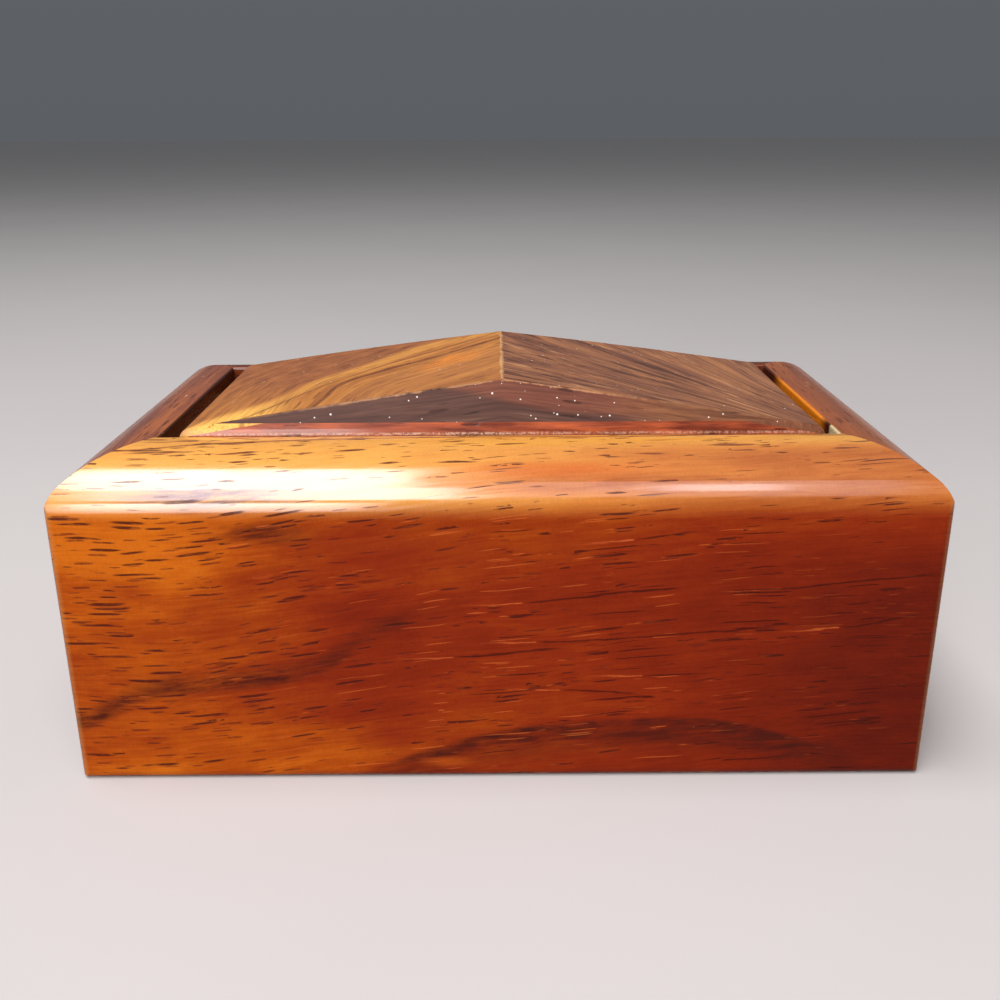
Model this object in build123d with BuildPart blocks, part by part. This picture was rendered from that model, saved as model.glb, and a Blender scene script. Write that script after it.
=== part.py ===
"""Sliding lid keepsake box: four mitred hardwood walls, a captured bottom, and a lid that slides out at the back.

The top of the back wall belongs to the lid: it is a rail that the thin runner carries away with it. On the runner
sits a plinth shaped like a low roof. Two book-matched panels cover its slopes and turn down over its sides, and a
facing covers each gable.

Millimetres. X runs along the front, Y from the front to the back, Z up. The origin is the middle of the base.
"""
from build123d import *
from math import atan2, cos, degrees, radians, sin, tan
import os

# ---- Driving dimensions -------------------------------------------------------------------------------------
box_width = 114.0  # outside, along the front
box_depth = 66.5  # outside, front to back
wall_height = 45.0  # base to the top of the rim
wall = 11.8  # thickness of the stock that all four walls are cut from

crown_drop = 7.6  # how far the crowned rim falls from its inner edge to the outer face
shoulder_radius = 5.5  # the tighter arc of the crown, where it turns down into the outer face
rim_ease = 0.5  # rounding of the rim's inner edge
base_ease = 1.2  # rounding where a wall meets the table
corner_ease = 1.2  # rounding of the four upright corners
saw_allowance = 5.0  # extra stock at each end of a wall before its mitre is cut

groove_depth = 4.0  # both grooves, into each wall's inner face
groove_play = 0.2  # height of a groove over the thickness of what runs in it
end_play = 0.4  # from a tongue's edge to the bottom of its groove

floor_lift = 2.5  # wood below the bottom panel's groove
bottom_thickness = 4.0

rim_lip = 4.5  # wood above the lid's groove
runner_thickness = 4.0
seam_gap = 0.15  # running space between the lid's back rail and the back wall under it
mitre_gap = 0.2  # running space at each mitred end of the lid's back rail, along X

plinth_front_gap = 0.5  # plinth to the front rim
plinth_back_gap = 2.2  # plinth to the back rail
plinth_side_gap = 2.15  # plinth to each side rim
plinth_offset = 0.45  # the plinth is glued this far right of the middle
plinth_band = 1.45  # height above the rim of the plinth's bare front, up to the gable facing

eave_rise = 0.7  # eaves above the rim, before they are rounded
eave_ease = 1.5  # rounding where a slope turns down into the side
roof_rise = 6.1  # ridge above the eaves
roof_swell = 0.2  # how far each slope bows out from a straight line
belly_drop = 0.8  # how far below the rim the plinth's front starts to lean in
belly_radius = 4.2  # the arc that takes the front from upright to the lean of the gable
gable_lean = 21.0  # degrees from upright
gable_facing = 0.9  # thickness of a gable facing, along Y
panel_thickness = 1.0
panel_lap = 1.0  # how far below the rim a roof panel reaches down the plinth's side

# ---- Heights and places that follow from them ---------------------------------------------------------------
bottom_groove_top = floor_lift + bottom_thickness + groove_play
lid_groove_top = wall_height - rim_lip
lid_groove_floor = lid_groove_top - groove_play - runner_thickness
runner_top = lid_groove_floor + runner_thickness
band_top = wall_height + plinth_band
eave_height = wall_height + eave_rise
ridge_top = eave_height + roof_rise
panel_foot = wall_height - panel_lap

# The crown is two arcs: the shoulder, upright where it leaves the outer face, and a flatter one that starts level
# at the rim's inner edge. Where they meet, the centres of both arcs lie on one line.
crown_width = wall - rim_ease
shoulder_height = wall_height - crown_drop
shoulder_reach = crown_width - shoulder_radius
crown_radius = (shoulder_reach**2 + crown_drop**2 - shoulder_radius**2) / (2 * (crown_drop - shoulder_radius))
crown_turn = degrees(atan2(shoulder_reach, crown_radius - crown_drop))

half_width = box_width / 2
half_depth = box_depth / 2
inside_half_width = half_width - wall
inside_half_depth = half_depth - wall
tongue = groove_depth - end_play

plinth_half_width = inside_half_width - plinth_side_gap
plinth_front = -inside_half_depth + plinth_front_gap
plinth_back = inside_half_depth - plinth_back_gap
plinth_middle = (plinth_front + plinth_back) / 2
plinth_half_depth = (plinth_back - plinth_front) / 2

# Each end of the lid is upright at first, then an arc turns it into the lean of the gable.
belly_foot = wall_height - belly_drop
belly_centre = plinth_half_depth - belly_radius
belly_head = belly_foot + belly_radius * sin(radians(gable_lean))
gable_base = belly_centre + belly_radius * cos(radians(gable_lean))
gable_slope = tan(radians(gable_lean))

os.makedirs("parts", exist_ok=True)


# ---- The stock and the mitres -------------------------------------------------------------------------------
# Every wall is cut from the same milled stock. Its section is drawn with x running in from the outer face and y
# running up, so the plane of each section has its x axis pointing into the box.
front_stock = Plane(origin=(0, -half_depth, 0), x_dir=(0, 1, 0), z_dir=(1, 0, 0))
back_stock = Plane(origin=(0, half_depth, 0), x_dir=(0, -1, 0), z_dir=(-1, 0, 0))
left_stock = Plane(origin=(-half_width, 0, 0), x_dir=(1, 0, 0), z_dir=(0, -1, 0))
right_stock = Plane(origin=(half_width, 0, 0), x_dir=(-1, 0, 0), z_dir=(0, 1, 0))


def milled_stock(stock_plane):
    """The section of a wall: a crowned rim, a groove for the lid and a groove for the bottom."""
    groove_wall = wall - groove_depth
    with BuildSketch(stock_plane) as section:
        with BuildLine():
            Polyline(
                (base_ease, 0),
                (wall, 0),
                (wall, floor_lift),
                (groove_wall, floor_lift),
                (groove_wall, bottom_groove_top),
                (wall, bottom_groove_top),
                (wall, lid_groove_floor),
                (groove_wall, lid_groove_floor),
                (groove_wall, lid_groove_top),
                (wall, lid_groove_top),
                (wall, wall_height - rim_ease),
            )
            CenterArc((crown_width, wall_height - rim_ease), rim_ease, 0, 90)
            CenterArc((crown_width, wall_height - crown_radius), crown_radius, 90, crown_turn)
            CenterArc((shoulder_radius, shoulder_height), shoulder_radius, 90 + crown_turn, 90 - crown_turn)
            Line((0, shoulder_height), (0, base_ease))
            CenterArc((base_ease, base_ease), base_ease, 180, 90)
        make_face()
    return section.sketch


# The mitre planes stand on the outer corners and face the front wall or the back wall.
front_left_mitre = Plane(origin=(-half_width, -half_depth, 0), z_dir=(1, -1, 0))
front_right_mitre = Plane(origin=(half_width, -half_depth, 0), z_dir=(-1, -1, 0))
back_left_mitre = Plane(origin=(-half_width, half_depth, 0), z_dir=(1, 1, 0))
back_right_mitre = Plane(origin=(half_width, half_depth, 0), z_dir=(-1, 1, 0))

# What sanding takes off the four upright corners, as one cutting tool.
with BuildPart() as corner_waste:
    with BuildSketch():
        with Locations((half_width - corner_ease, half_depth - corner_ease)):
            Rectangle(2 * corner_ease, 2 * corner_ease, align=(Align.MIN, Align.MIN))
            Circle(corner_ease, mode=Mode.SUBTRACT)
        mirror(about=Plane.XZ)
        mirror(about=Plane.YZ)
    extrude(amount=wall_height)

# ---- The box ------------------------------------------------------------------------------------------------
with BuildPart() as front_wall:
    extrude(milled_stock(front_stock), amount=half_width + saw_allowance, both=True)
    split(bisect_by=front_left_mitre, keep=Keep.TOP)
    split(bisect_by=front_right_mitre, keep=Keep.TOP)
    add(corner_waste.part, mode=Mode.SUBTRACT)

with BuildPart() as left_wall:
    extrude(milled_stock(left_stock), amount=half_depth + saw_allowance, both=True)
    split(bisect_by=front_left_mitre, keep=Keep.BOTTOM)
    split(bisect_by=back_left_mitre, keep=Keep.BOTTOM)
    add(corner_waste.part, mode=Mode.SUBTRACT)

with BuildPart() as right_wall:
    extrude(milled_stock(right_stock), amount=half_depth + saw_allowance, both=True)
    split(bisect_by=front_right_mitre, keep=Keep.BOTTOM)
    split(bisect_by=back_right_mitre, keep=Keep.BOTTOM)
    add(corner_waste.part, mode=Mode.SUBTRACT)

# The back wall stops just below the floor of the lid's groove, so that the runner can leave over it.
with BuildPart() as back_wall:
    extrude(milled_stock(back_stock), amount=half_width + saw_allowance, both=True)
    split(bisect_by=back_left_mitre, keep=Keep.TOP)
    split(bisect_by=back_right_mitre, keep=Keep.TOP)
    split(bisect_by=Plane.XY.offset(lid_groove_floor - seam_gap), keep=Keep.BOTTOM)
    add(corner_waste.part, mode=Mode.SUBTRACT)

# The bottom panel lies in the lower grooves, loose at its edges so that it can swell and shrink.
with BuildPart() as bottom_panel:
    with BuildSketch(Plane.XY.offset(floor_lift)):
        Rectangle(2 * (inside_half_width + tongue), 2 * (inside_half_depth + tongue))
    extrude(amount=bottom_thickness)

# ---- The lid's carriage -------------------------------------------------------------------------------------
# The rail is the rest of the back wall's stock. Its half of the lid's groove is open below, a rebate for the
# runner's back edge, and its mitres are cut back a little so that they part freely.
with BuildPart() as lid_back_rail:
    extrude(milled_stock(back_stock), amount=half_width + saw_allowance, both=True)
    split(bisect_by=back_left_mitre.move(Location((mitre_gap, 0, 0))), keep=Keep.TOP)
    split(bisect_by=back_right_mitre.move(Location((-mitre_gap, 0, 0))), keep=Keep.TOP)
    split(bisect_by=Plane.XY.offset(lid_groove_floor), keep=Keep.TOP)
    add(corner_waste.part, mode=Mode.SUBTRACT)

runner_front = -inside_half_depth - tongue
runner_back = inside_half_depth + groove_depth
with BuildPart() as lid_runner:
    with BuildSketch(Plane.XY.offset(lid_groove_floor)):
        with Locations((0, (runner_front + runner_back) / 2)):
            Rectangle(2 * (inside_half_width + tongue), runner_back - runner_front)
    extrude(amount=runner_thickness)

# ---- The lid's plinth, panels and gables --------------------------------------------------------------------
# They are shaped as one block, then taken apart. The block is what two sections have in common: one seen from the
# front, with the two slopes, and one seen from the side, with the two leaning ends.
front_view = Plane(origin=(plinth_offset, plinth_middle, 0), x_dir=(1, 0, 0), z_dir=(0, -1, 0))
side_view = Plane(origin=(plinth_offset, plinth_middle, 0), x_dir=(0, 1, 0), z_dir=(1, 0, 0))

with BuildSketch(front_view) as roof_section:
    with BuildLine():
        Polyline(
            (-plinth_half_width, eave_height),
            (-plinth_half_width, runner_top),
            (plinth_half_width, runner_top),
            (plinth_half_width, eave_height),
        )
        SagittaArc((plinth_half_width, eave_height), (0, ridge_top), -roof_swell)
        SagittaArc((0, ridge_top), (-plinth_half_width, eave_height), -roof_swell)
    make_face()
    fillet(roof_section.vertices().group_by(Axis.Y)[1], radius=eave_ease)

# The plinth in the same view: set in by the thickness of the panels, and full below them.
with BuildSketch(front_view) as core_section:
    add(roof_section.sketch_local)
    offset(amount=-panel_thickness)
    with Locations((0, runner_top)):
        Rectangle(2 * plinth_half_width, panel_foot - runner_top, align=(Align.CENTER, Align.MIN))

block_top = ridge_top + saw_allowance
block_top_half_depth = gable_base - (block_top - belly_head) * gable_slope
with BuildSketch(side_view) as end_section:
    with BuildLine():
        Polyline(
            (-plinth_half_depth, belly_foot),
            (-plinth_half_depth, runner_top),
            (plinth_half_depth, runner_top),
            (plinth_half_depth, belly_foot),
        )
        CenterArc((belly_centre, belly_foot), belly_radius, 0, gable_lean)
        Polyline(
            (gable_base, belly_head),
            (block_top_half_depth, block_top),
            (-block_top_half_depth, block_top),
            (-gable_base, belly_head),
        )
        CenterArc((-belly_centre, belly_foot), belly_radius, 180 - gable_lean, gable_lean)
    make_face()

with BuildPart() as lid_block:
    extrude(roof_section.sketch, amount=plinth_half_depth, both=True)
    extrude(end_section.sketch, amount=plinth_half_width, both=True, mode=Mode.INTERSECT)

# Each facing stands on the plinth's band, and the joint behind it leans as the gable does. The room for both facings
# is larger than they are on every other side.
joint_half_depth = gable_base - (band_top - belly_head) * gable_slope - gable_facing
joint_top_half_depth = joint_half_depth - (block_top - band_top) * gable_slope
with BuildPart() as facing_room:
    with BuildSketch(side_view):
        with BuildLine():
            Polyline(
                (joint_half_depth, band_top),
                (joint_top_half_depth, block_top),
                (plinth_half_depth, block_top),
                (plinth_half_depth, band_top),
                close=True,
            )
        make_face()
        mirror(about=Plane.YZ)
    extrude(amount=half_width, both=True)

with BuildPart() as gable_facings:
    add(lid_block.part)
    add(facing_room.part, mode=Mode.INTERSECT)

with BuildPart() as roof_skin:
    add(lid_block.part)
    add(facing_room.part, mode=Mode.SUBTRACT)
    extrude(core_section.sketch, amount=plinth_half_depth, both=True, mode=Mode.SUBTRACT)

with BuildPart() as lid_plinth:
    add(lid_block.part)
    add(facing_room.part, mode=Mode.SUBTRACT)
    extrude(core_section.sketch, amount=plinth_half_depth, both=True, mode=Mode.INTERSECT)

middle_plane = Plane(origin=(0, plinth_middle, 0), z_dir=(0, 1, 0))
with BuildPart() as lid_front_gable:
    add(gable_facings.part)
    split(bisect_by=middle_plane, keep=Keep.BOTTOM)

with BuildPart() as lid_back_gable:
    add(gable_facings.part)
    split(bisect_by=middle_plane, keep=Keep.TOP)

ridge_joint = Plane.YZ.offset(plinth_offset)
with BuildPart() as lid_left_panel:
    add(roof_skin.part)
    split(bisect_by=ridge_joint, keep=Keep.BOTTOM)

with BuildPart() as lid_right_panel:
    add(roof_skin.part)
    split(bisect_by=ridge_joint, keep=Keep.TOP)

# ---- Hand over ----------------------------------------------------------------------------------------------
pieces = {
    "front_wall": front_wall,
    "left_wall": left_wall,
    "right_wall": right_wall,
    "back_wall": back_wall,
    "bottom_panel": bottom_panel,
    "lid_back_rail": lid_back_rail,
    "lid_runner": lid_runner,
    "lid_plinth": lid_plinth,
    "lid_front_gable": lid_front_gable,
    "lid_back_gable": lid_back_gable,
    "lid_left_panel": lid_left_panel,
    "lid_right_panel": lid_right_panel,
}
for name, piece in pieces.items():
    piece.part.label = name
    export_step(piece.part, f"parts/{name}.step")
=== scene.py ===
# %% [markdown]
# # A sliding lid wooden box
#
# The box is made of solid, lacquered hardwood: four mitred walls with a crowned rim, and a lid with a low roof of
# two book-matched panels. The shapes come ready from CAD, as a frame of named pieces that stay where they are.
# What is left for Blender is what wood is really about: colour, figure, pores, fibres and the gloss of the lacquer.
#
# The first cell loads the frame. Nothing is selected afterwards, because an operator acts on all that is selected.

# %% Load the frame
import bpy
from math import cos, radians, sin, tan
from mathutils import Matrix, Vector


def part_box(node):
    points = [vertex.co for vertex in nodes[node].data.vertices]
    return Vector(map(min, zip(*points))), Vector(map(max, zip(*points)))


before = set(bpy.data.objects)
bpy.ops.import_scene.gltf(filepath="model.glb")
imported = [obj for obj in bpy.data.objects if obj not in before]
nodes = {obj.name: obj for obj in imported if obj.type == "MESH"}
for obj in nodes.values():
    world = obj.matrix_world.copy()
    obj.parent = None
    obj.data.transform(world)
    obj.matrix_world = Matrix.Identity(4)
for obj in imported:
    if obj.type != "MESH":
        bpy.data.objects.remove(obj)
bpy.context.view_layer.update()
bpy.ops.object.select_all(action="DESELECT")
print("pieces in the frame:", ", ".join(sorted(nodes)))

# %% [markdown]
# ## Sizes in millimetres
#
# A woodworker thinks in millimetres, while Blender's unit is the metre. Every material below turns its coordinates
# into millimetres first, so that a pore of 3 means 3 mm. These few sizes tell the materials where the walls, the
# ridge and the eaves are. They are read from the frame, so they follow the box if it changes.

# %% Measure the box
METRE = 1000.0  # millimetres


def extent(name):
    """The lowest and the highest corner of a piece, in millimetres."""
    low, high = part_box(name)
    return low * METRE, high * METRE


box_half_width = extent("front_wall")[1].x
box_half_depth = -extent("front_wall")[0].y
rim_top = extent("front_wall")[1].z
inner_half_width = -extent("left_wall")[1].x
ridge_x = extent("lid_left_panel")[1].x
ridge_top = extent("lid_left_panel")[1].z
print(f"box {2 * box_half_width:.1f} x {2 * box_half_depth:.1f} mm, ridge at x {ridge_x:.2f}, {ridge_top:.1f} high")

# %% [markdown]
# ## The camera
#
# A small thing looks small only if the camera is close and looks slightly down on it, as a person at a table does.
# The camera stands 125 mm in front of the box and 84 mm above the table. Its place is built from plain turns:
# first it is tipped from looking straight down to looking ahead, then turned, then moved. The near clipping
# distance has to be shorter than the way to the box.

# %% Camera
CAMERA_AT = (-0.00011, -0.15865, 0.08405)
PITCH, YAW, ROLL = 19.37, 0.08, -0.30  # degrees down, to the right, and about the line of sight
LENS = 38.62  # mm, on a sensor 36 mm wide

camera_data = bpy.data.cameras.new("camera")
camera_data.lens = LENS
camera_data.sensor_width = 36.0
camera_data.clip_start = 0.01
camera = bpy.data.objects.new("camera", camera_data)
bpy.context.scene.collection.objects.link(camera)
camera.matrix_world = (
    Matrix.Translation(CAMERA_AT)
    @ Matrix.Rotation(radians(-YAW), 4, "Z")
    @ Matrix.Rotation(radians(90.0 - PITCH), 4, "X")
    @ Matrix.Rotation(radians(ROLL), 4, "Z")
)
bpy.context.scene.camera = camera
bpy.context.scene.view_settings.view_transform = "Standard"
print("camera at", CAMERA_AT)

# %% [markdown]
# ## Building materials in code
#
# A shader is a graph: boxes with sockets, joined by links. Written out one by one, the boxes drown the idea, so a
# few helpers come first. `place` adds a node and feeds its sockets, with a plain value or with another node's
# output.

# %% Helpers for nodes
def feed(tree, socket, value):
    """Gives a socket a plain value, or links another node's output to it."""
    if isinstance(value, bpy.types.NodeSocket):
        tree.links.new(value, socket)
    else:
        socket.default_value = value


def place(tree, kind, menus=None, **feeds):
    """Adds a shader node, sets its menus and feeds its sockets by name."""
    made = tree.nodes.new("ShaderNode" + kind)
    for menu, choice in (menus or {}).items():
        setattr(made, menu, choice)
    for name, value in feeds.items():
        feed(tree, made.inputs[name.replace("_", " ")], value)
    return made


def axes_of(tree, vector):
    """The X, Y and Z of a vector, as three values."""
    return place(tree, "SeparateXYZ", Vector=vector).outputs


def vector_of(tree, x=0.0, y=0.0, z=0.0):
    """One vector from three values."""
    return place(tree, "CombineXYZ", X=x, Y=y, Z=z).outputs[0]


print("helpers for nodes ready")

# %% [markdown]
# Most of the work is done by masks: values from 0 to 1 that say how much of something there is at a place. These
# helpers do sums with them.

# %% Helpers for sums
def maths(tree, operation, *terms, clamp=False):
    """One sum on one or two values."""
    made = place(tree, "Math", {"operation": operation, "use_clamp": clamp})
    for socket, term in zip(made.inputs, terms):
        feed(tree, socket, term)
    return made.outputs[0]


def times(tree, *factors):
    """All factors multiplied, from left to right."""
    product = factors[0]
    for factor in factors[1:]:
        product = maths(tree, "MULTIPLY", product, factor)
    return product


def plus(tree, first, second):
    """The sum of two values."""
    return maths(tree, "ADD", first, second)


def minus(tree, first, second):
    """The first value less the second."""
    return maths(tree, "SUBTRACT", first, second)


def larger(tree, first, second):
    """The larger of two values: where two masks meet, neither adds to the other."""
    return maths(tree, "MAXIMUM", first, second)


def spread(tree, value, low, high, to_low=0.0, to_high=1.0, soft=True):
    """Maps a value from one range to another and holds it there; soft eases in and out."""
    made = place(tree, "MapRange", {"interpolation_type": "SMOOTHSTEP" if soft else "LINEAR"}, Value=value)
    for name, end in (("From Min", low), ("From Max", high), ("To Min", to_low), ("To Max", to_high)):
        feed(tree, made.inputs[name], end)
    return made.outputs[0]


print("helpers for sums ready")

# %% [markdown]
# `blend` lays one colour over another, and `stain` does the same with a plain shade, where all of its masks agree.
# Shades are written as a screen shows them, from 0 to 255. A shader works with light itself, so `tone` turns a
# shade into linear values.

# %% Helpers for colours
def blend(tree, share, under, over, mode="MIX"):
    """Lays one colour over another by a share from 0 to 1."""
    made = place(tree, "Mix", {"data_type": "RGBA", "blend_type": mode})
    for index, value in ((0, share), (6, under), (7, over)):
        feed(tree, made.inputs[index], value)
    return made.outputs[2]


def tone(red, green, blue):
    """A shade from 0 to 255 in the linear values that a shader works with."""
    return (*(((part / 255 + 0.055) / 1.055) ** 2.4 for part in (red, green, blue)), 1.0)


def ramp(tree, value, *stops):
    """A scale of colours; each stop is a place from 0 to 1 and a colour from 0 to 255."""
    made = place(tree, "ValToRGB", Fac=value)
    scale = made.color_ramp.elements
    steps = [(position, tone(*shade)) for position, *shade in stops]
    scale[0].position, scale[0].color = steps[0]
    scale[1].position, scale[1].color = steps[-1]
    for position, colour in steps[1:-1]:
        scale.new(position).color = colour
    return made.outputs[0]


def stain(tree, colour, shade, *masks):
    """Lays a shade from 0 to 255 over a colour, by the product of some masks and shares."""
    return blend(tree, times(tree, *masks), colour, tone(*shade))


print("golden wood in linear light:", [round(part, 3) for part in tone(200, 125, 30)])

# %% [markdown]
# ## Table, light and background
#
# The box stands on a plain pale table. The plane is much larger than the box, so its edge lies at the horizon. It
# lies a hair below the box, so that the two never share one plane. Glossy lacquer shows what is round it, so the
# light decides the look of the rim: each lamp is a large, soft panel, and the rounded shoulder of the rim mirrors
# it as a long bright band.

# %% Table
TABLE_SIDE = 12.0  # m
TABLE_GAP = 0.00005  # m, between the table and the underside of the box

bpy.ops.mesh.primitive_plane_add(size=TABLE_SIDE, location=(0, 0, -TABLE_GAP))
table = bpy.context.object
table.name = "table"
table_paint = bpy.data.materials.new("table_paint")
table_paint.use_nodes = True
table_tree = table_paint.node_tree
table_shader = table_tree.nodes["Principled BSDF"]
table_cloud = place(table_tree, "TexNoise", Vector=place(table_tree, "TexCoord").outputs["Object"], Scale=9.0)
table_colour = blend(table_tree, table_cloud.outputs[0], tone(178, 173, 168), tone(184, 179, 174))
feed(table_tree, table_shader.inputs["Base Color"], table_colour)
table_shader.inputs["Roughness"].default_value = 0.7
table_shader.inputs["Specular IOR Level"].default_value = 0.2
table.data.materials.append(table_paint)
print("table", tuple(round(side, 2) for side in table.dimensions))

# %% Sky
sky = bpy.data.worlds.new("studio")
sky.use_nodes = True
sky_tree = sky.node_tree
sky_up = axes_of(sky_tree, place(sky_tree, "TexCoord").outputs["Generated"])[2]
sky_colour = ramp(
    sky_tree, sky_up, (0.0, 92, 95, 100), (0.35, 98, 101, 106), (0.75, 132, 136, 142), (1.0, 160, 164, 170)
)
feed(sky_tree, sky_tree.nodes["Background"].inputs["Color"], sky_colour)
bpy.context.scene.world = sky
print("sky", sky.name)

# %% [markdown]
# A lamp is given by what it covers, as seen from the box: `sides` runs from -1 at the left to 1 at the right, and
# `heights` is in degrees above the horizon. Its power grows with its area, so `glow` alone says how bright it looks
# in the lacquer.

# %% Lamps
TARGET = Vector((0.0, 0.0, 0.03))  # m: all lamps face this point
WATTS = 3.5  # for a square metre of lamp with a glow of 1


def softbox(name, sides, heights, glow, colour=(1.0, 1.0, 1.0)):
    """A soft lamp one metre away from the target."""
    middle, tilt = sum(sides) / 2, radians(sum(heights) / 2)
    level_part = (1.0 - middle**2) ** 0.5
    towards = Vector((middle, -level_part * cos(tilt), level_part * sin(tilt)))
    lamp_data = bpy.data.lights.new(name, "AREA")
    lamp_data.shape = "RECTANGLE"
    lamp_data.size = abs(sides[1] - sides[0])
    lamp_data.size_y = 2 * tan(radians(abs(heights[1] - heights[0]) / 2))
    lamp_data.energy = glow * WATTS * lamp_data.size * lamp_data.size_y
    lamp_data.color = colour
    lamp = bpy.data.objects.new(name, lamp_data)
    bpy.context.scene.collection.objects.link(lamp)
    lamp.location = TARGET + towards
    level_edge = (Vector((1.0, 0.0, 0.0)) - towards * middle).normalized()
    turned = Matrix((level_edge, towards.cross(level_edge), towards)).transposed()
    lamp.rotation_euler = turned.to_euler()
    lamp.visible_camera = False
    print(f"{name}: {lamp_data.size:.2f} x {lamp_data.size_y:.2f} m, {lamp_data.energy:.2f} W")


softbox("overhead", (-0.44, -0.085), (62, 96), 10.9, (0.94, 0.95, 1.0))
softbox("left_middle", (-0.25, -0.045), (32, 62), 10.4, (0.95, 0.94, 1.0))
softbox("left_corner", (-0.41, -0.25), (33, 62), 7.0, (0.94, 0.87, 1.0))
softbox("low_left", (-0.42, -0.14), (5, 25), 13.0)
softbox("high_right", (0.0, 0.41), (36, 80), 1.55, (1.0, 0.88, 0.88))
softbox("right_window", (0.165, 0.285), (50, 68), 5.2, (1.0, 0.94, 0.93))

# %% [markdown]
# ## Reusable effects: node groups
#
# Every wood on the box shows the same few things at its own scale. Each of them is a node group, built once, with
# named inputs: fibres, pores, a patch, worn edges and dust. A group gives out only masks; the colours and the
# shader stay in each material, where they are easy to find.

# %% Helpers for node groups
def start_group(name, inputs, outputs):
    """A shader group with float inputs, except Vector, and one output for each name."""
    group = bpy.data.node_groups.new(name, "ShaderNodeTree")
    for title in inputs:
        kind = "NodeSocketVector" if title == "Vector" else "NodeSocketFloat"
        group.interface.new_socket(name=title, in_out="INPUT", socket_type=kind)
    for title in outputs:
        group.interface.new_socket(name=title, in_out="OUTPUT", socket_type="NodeSocketFloat")
    return group, group.nodes.new("NodeGroupInput").outputs, group.nodes.new("NodeGroupOutput").inputs


def use(tree, group, **feeds):
    """Places a group in a material, with this material's own values."""
    made = tree.nodes.new("ShaderNodeGroup")
    made.node_tree = group
    for name, value in feeds.items():
        feed(tree, made.inputs[name.replace("_", " ")], value)
    return made.outputs[0] if len(made.outputs) == 1 else list(made.outputs)


def vector_maths(tree, operation, first, second):
    """One sum on two vectors."""
    made = place(tree, "VectorMath", {"operation": operation})
    feed(tree, made.inputs[0], first)
    feed(tree, made.inputs[1], second)
    return made.outputs["Value" if operation == "LENGTH" else "Vector"]


def in_cells(tree, vector, length, width, seed):
    """Divides space into long cells: length along the grain, width across it."""
    size = vector_of(tree, length, width, width)
    start = vector_of(tree, seed, seed, seed)
    return vector_maths(tree, "ADD", vector_maths(tree, "DIVIDE", vector, size), start)


print("group helpers ready")

# %% [markdown]
# Fibres are fine streaks along the grain. A cloud texture makes them when space is stretched: it changes slowly
# along the grain and fast across it. Because the texture fills space, a streak that runs along a face goes on over
# the rim, as it does in solid wood.

# %% Group: fibres
fibres, given, results = start_group("fibres", ("Vector", "Length", "Width", "Seed"), ("Fibres",))
cells = in_cells(fibres, given["Vector"], given["Length"], given["Width"], given["Seed"])
cloud = place(fibres, "TexNoise", Vector=cells, Scale=1.0, Detail=4.0, Roughness=0.62)
feed(fibres, results["Fibres"], spread(fibres, cloud.outputs[0], 0.28, 0.72, soft=False))


def streaks(tree, vector, length, width, seed):
    """Fibres in a material: streaks of this length and width in millimetres."""
    return use(tree, fibres, Vector=vector, Length=length, Width=width, Seed=seed)


def two_streaks(tree, vector, broad, fine, share):
    """A share of broad streaks mixed with fine ones, and the fine ones; each has a length, a width and a seed."""
    fine = streaks(tree, vector, *fine)
    broad = streaks(tree, vector, *broad)
    return plus(tree, times(tree, broad, share), times(tree, fine, 1.0 - share)), fine


print("made group", fibres.name)

# %% [markdown]
# Pores are the cut ends of the vessels that carried water up the tree. On a board they show as short dark dashes
# with tapered ends. A Voronoi texture scatters one point in every cell, and the space near a point is the pore.
# `Share` is how many of the cells hold a pore, and a second random number gives each pore its own size. Some pores
# were filled by the lacquer at one end, and that end catches the light: the group's second output is that pale
# streak, joined to the left end, a painted glint.

# %% Group: pores
pores, given, results = start_group(
    "pores", ("Vector", "Length", "Width", "Share", "Pale Share", "Seed"), ("Dark", "Pale")
)
cells = in_cells(pores, given["Vector"], given["Length"], given["Width"], given["Seed"])
scatter = place(pores, "TexVoronoi", {"distance": "MINKOWSKI"}, Vector=cells, Scale=1.0, Exponent=3.0)
chance = place(pores, "SeparateColor", Color=scatter.outputs["Color"]).outputs
kept = maths(pores, "LESS_THAN", chance[0], given["Share"])
size = spread(pores, chance[1], 0.0, 1.0, 0.15, 0.46, soft=False)
inside = spread(pores, scatter.outputs["Distance"], times(pores, size, 0.6), size, 1.0, 0.0)
broken = place(pores, "TexNoise", Vector=cells, Scale=3.4, Detail=2.0).outputs[0]
inside = times(pores, inside, spread(pores, broken, 0.28, 0.5, 0.35, 1.0))
feed(pores, results["Dark"], times(pores, kept, inside))

from_point = vector_maths(pores, "SUBTRACT", cells, scatter.outputs["Position"])
to_left = vector_of(pores, times(pores, size, 1.1))
# Scaled unevenly, the pale tail, a painted glint, comes out longer and thinner than the pore.
flat = vector_maths(pores, "MULTIPLY", vector_maths(pores, "ADD", from_point, to_left), (0.7, 1.8, 1.8))
glint_tail = spread(pores, vector_maths(pores, "LENGTH", flat, (0.0, 0.0, 0.0)), times(pores, size, 0.4), size, 1.0, 0.0)
filled_and_glinting = maths(pores, "LESS_THAN", chance[2], given["Pale Share"])
feed(pores, results["Pale"], times(pores, kept, filled_and_glinting, glint_tail))


def marks(tree, vector, length, width, share, seed):
    """The dark pores alone, in cells of this length and width in millimetres."""
    return use(tree, pores, Vector=vector, Length=length, Width=width, Share=share, Seed=seed)[0]


print("made group", pores.name)

# %% [markdown]
# A patch is a soft oval, for a place where the wood is paler or smokier. It is measured in millimetres from its own
# middle, along and across the grain.

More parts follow.
